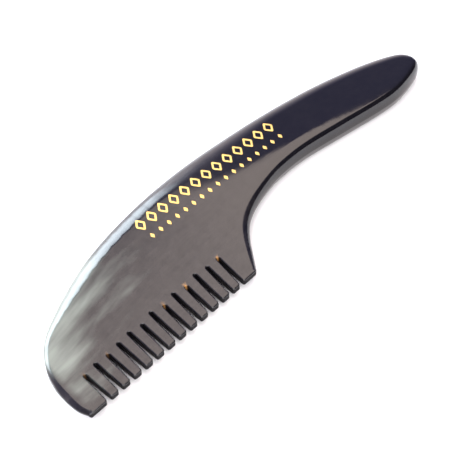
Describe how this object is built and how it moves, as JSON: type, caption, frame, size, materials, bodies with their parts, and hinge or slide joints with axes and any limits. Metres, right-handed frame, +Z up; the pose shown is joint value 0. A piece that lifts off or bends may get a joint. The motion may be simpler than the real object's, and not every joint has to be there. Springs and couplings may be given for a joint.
{
  "type": "beard comb",
  "caption": "Flat beard comb cut from one plate of dark polished horn, with a rounded handle, a wedge-ground blade of short sawn teeth and a row of stamped gold foil ornament.",
  "frame": {"origin": "centre of the bounding box in plan, on the flat underside that the comb rests on", "axes": "+X along the tooth line from the toe to the handle end, -Y from the spine to the tooth tips, +Z up out of the face with the foil"},
  "size_m": [0.1475, 0.0388, 0.0075],
  "materials": {
    "horn": "polished black buffalo horn with pale streaks at the toe",
    "foil": "hot-stamped pale gold foil"
  },
  "bodies": {
    "root": {"horn_back": "horn", "tooth_01": "horn", "tooth_02": "horn", "tooth_03": "horn", "tooth_04": "horn", "tooth_05": "horn", "tooth_06": "horn", "tooth_07": "horn", "tooth_08": "horn", "tooth_09": "horn", "tooth_10": "horn", "tooth_11": "horn", "tooth_12": "horn", "tooth_13": "horn", "tooth_14": "horn", "foil_lozenges": "foil", "foil_beads": "foil"}
  },
  "joints": []
}
